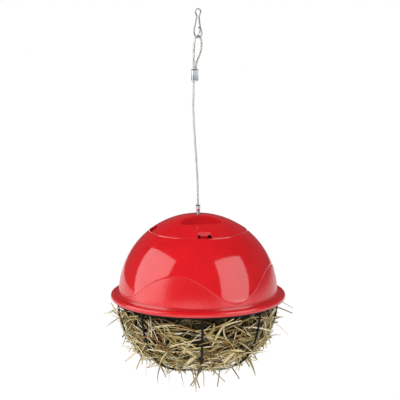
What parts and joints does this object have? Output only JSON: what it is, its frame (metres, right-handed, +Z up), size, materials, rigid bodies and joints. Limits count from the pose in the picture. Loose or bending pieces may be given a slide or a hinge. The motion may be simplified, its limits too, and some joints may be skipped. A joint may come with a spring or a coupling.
{
  "type": "hanging treat ball",
  "caption": "Hay ball that hangs on a steel cable: a plastic dome with a lift-up cap over a round wire basket of hay, with a snap clip at the top.",
  "frame": {"origin": "inside the top of the clip's eye, where the ball hangs", "axes": "+Z up, -Y towards the viewer of the picture, the ball's axis runs down -Z"},
  "size_m": [0.18, 0.18, 0.3929],
  "materials": {
    "clip_wire": "satin",
    "cable": "satin",
    "ferrule": "satin",
    "bar_steel": "satin",
    "red_plastic": "gloss",
    "tie_plastic": "matte",
    "coated_wire": "satin",
    "hay": "matte"
  },
  "bodies": {
    "clip": {"clip_body": "clip_wire"},
    "gate": {"clip_gate": "clip_wire"},
    "cable": {"cable_loop_upper": "cable", "upper_ferrule": "ferrule", "cable_run": "cable"},
    "ball": {"lower_ferrule": "ferrule", "cable_loop_lower": "cable", "hanger_bar": "bar_steel", "washer_left": "bar_steel", "washer_right": "bar_steel", "dome": "red_plastic", "ring_tie_1": "tie_plastic", "ring_tie_2": "tie_plastic", "ring_tie_3": "tie_plastic", "ring_tie_4": "tie_plastic", "basket_top_ring": "coated_wire", "basket_bar_1": "coated_wire", "basket_bar_2": "coated_wire", "basket_bar_3": "coated_wire", "basket_bar_4": "coated_wire", "basket_bar_5": "coated_wire", "basket_bar_6": "coated_wire", "basket_bar_7": "coated_wire", "basket_bar_8": "coated_wire", "basket_bottom_ring": "coated_wire", "hay_fill": "hay", "hay_stalks": "hay"},
    "cap": {"cap": "red_plastic"}
  },
  "joints": [
    {"name": "gate_flex", "type": "hinge", "parent": "clip", "child": "gate", "pos_m": [0.00166, -0.00096, -0.00534], "axis": [0.5, 0.866, 0], "range_deg": [0, 6], "stiffness_Nm_per_rad": 0.4},
    {"name": "cable_swing", "type": "hinge", "parent": "clip", "child": "cable", "pos_m": [0, 0, -0.0276], "axis": [0.866, -0.5, 0], "range_deg": [-30, 30]},
    {"name": "ball_spin", "type": "hinge", "parent": "cable", "child": "ball", "pos_m": [0, 0, -0.1972], "axis": [0, 0, 1], "range_deg": [-180, 180]},
    {"name": "cap_lift", "type": "slide", "parent": "ball", "child": "cap", "axis": [0, 0, 1], "range_m": [0, 0.04]}
  ]
}
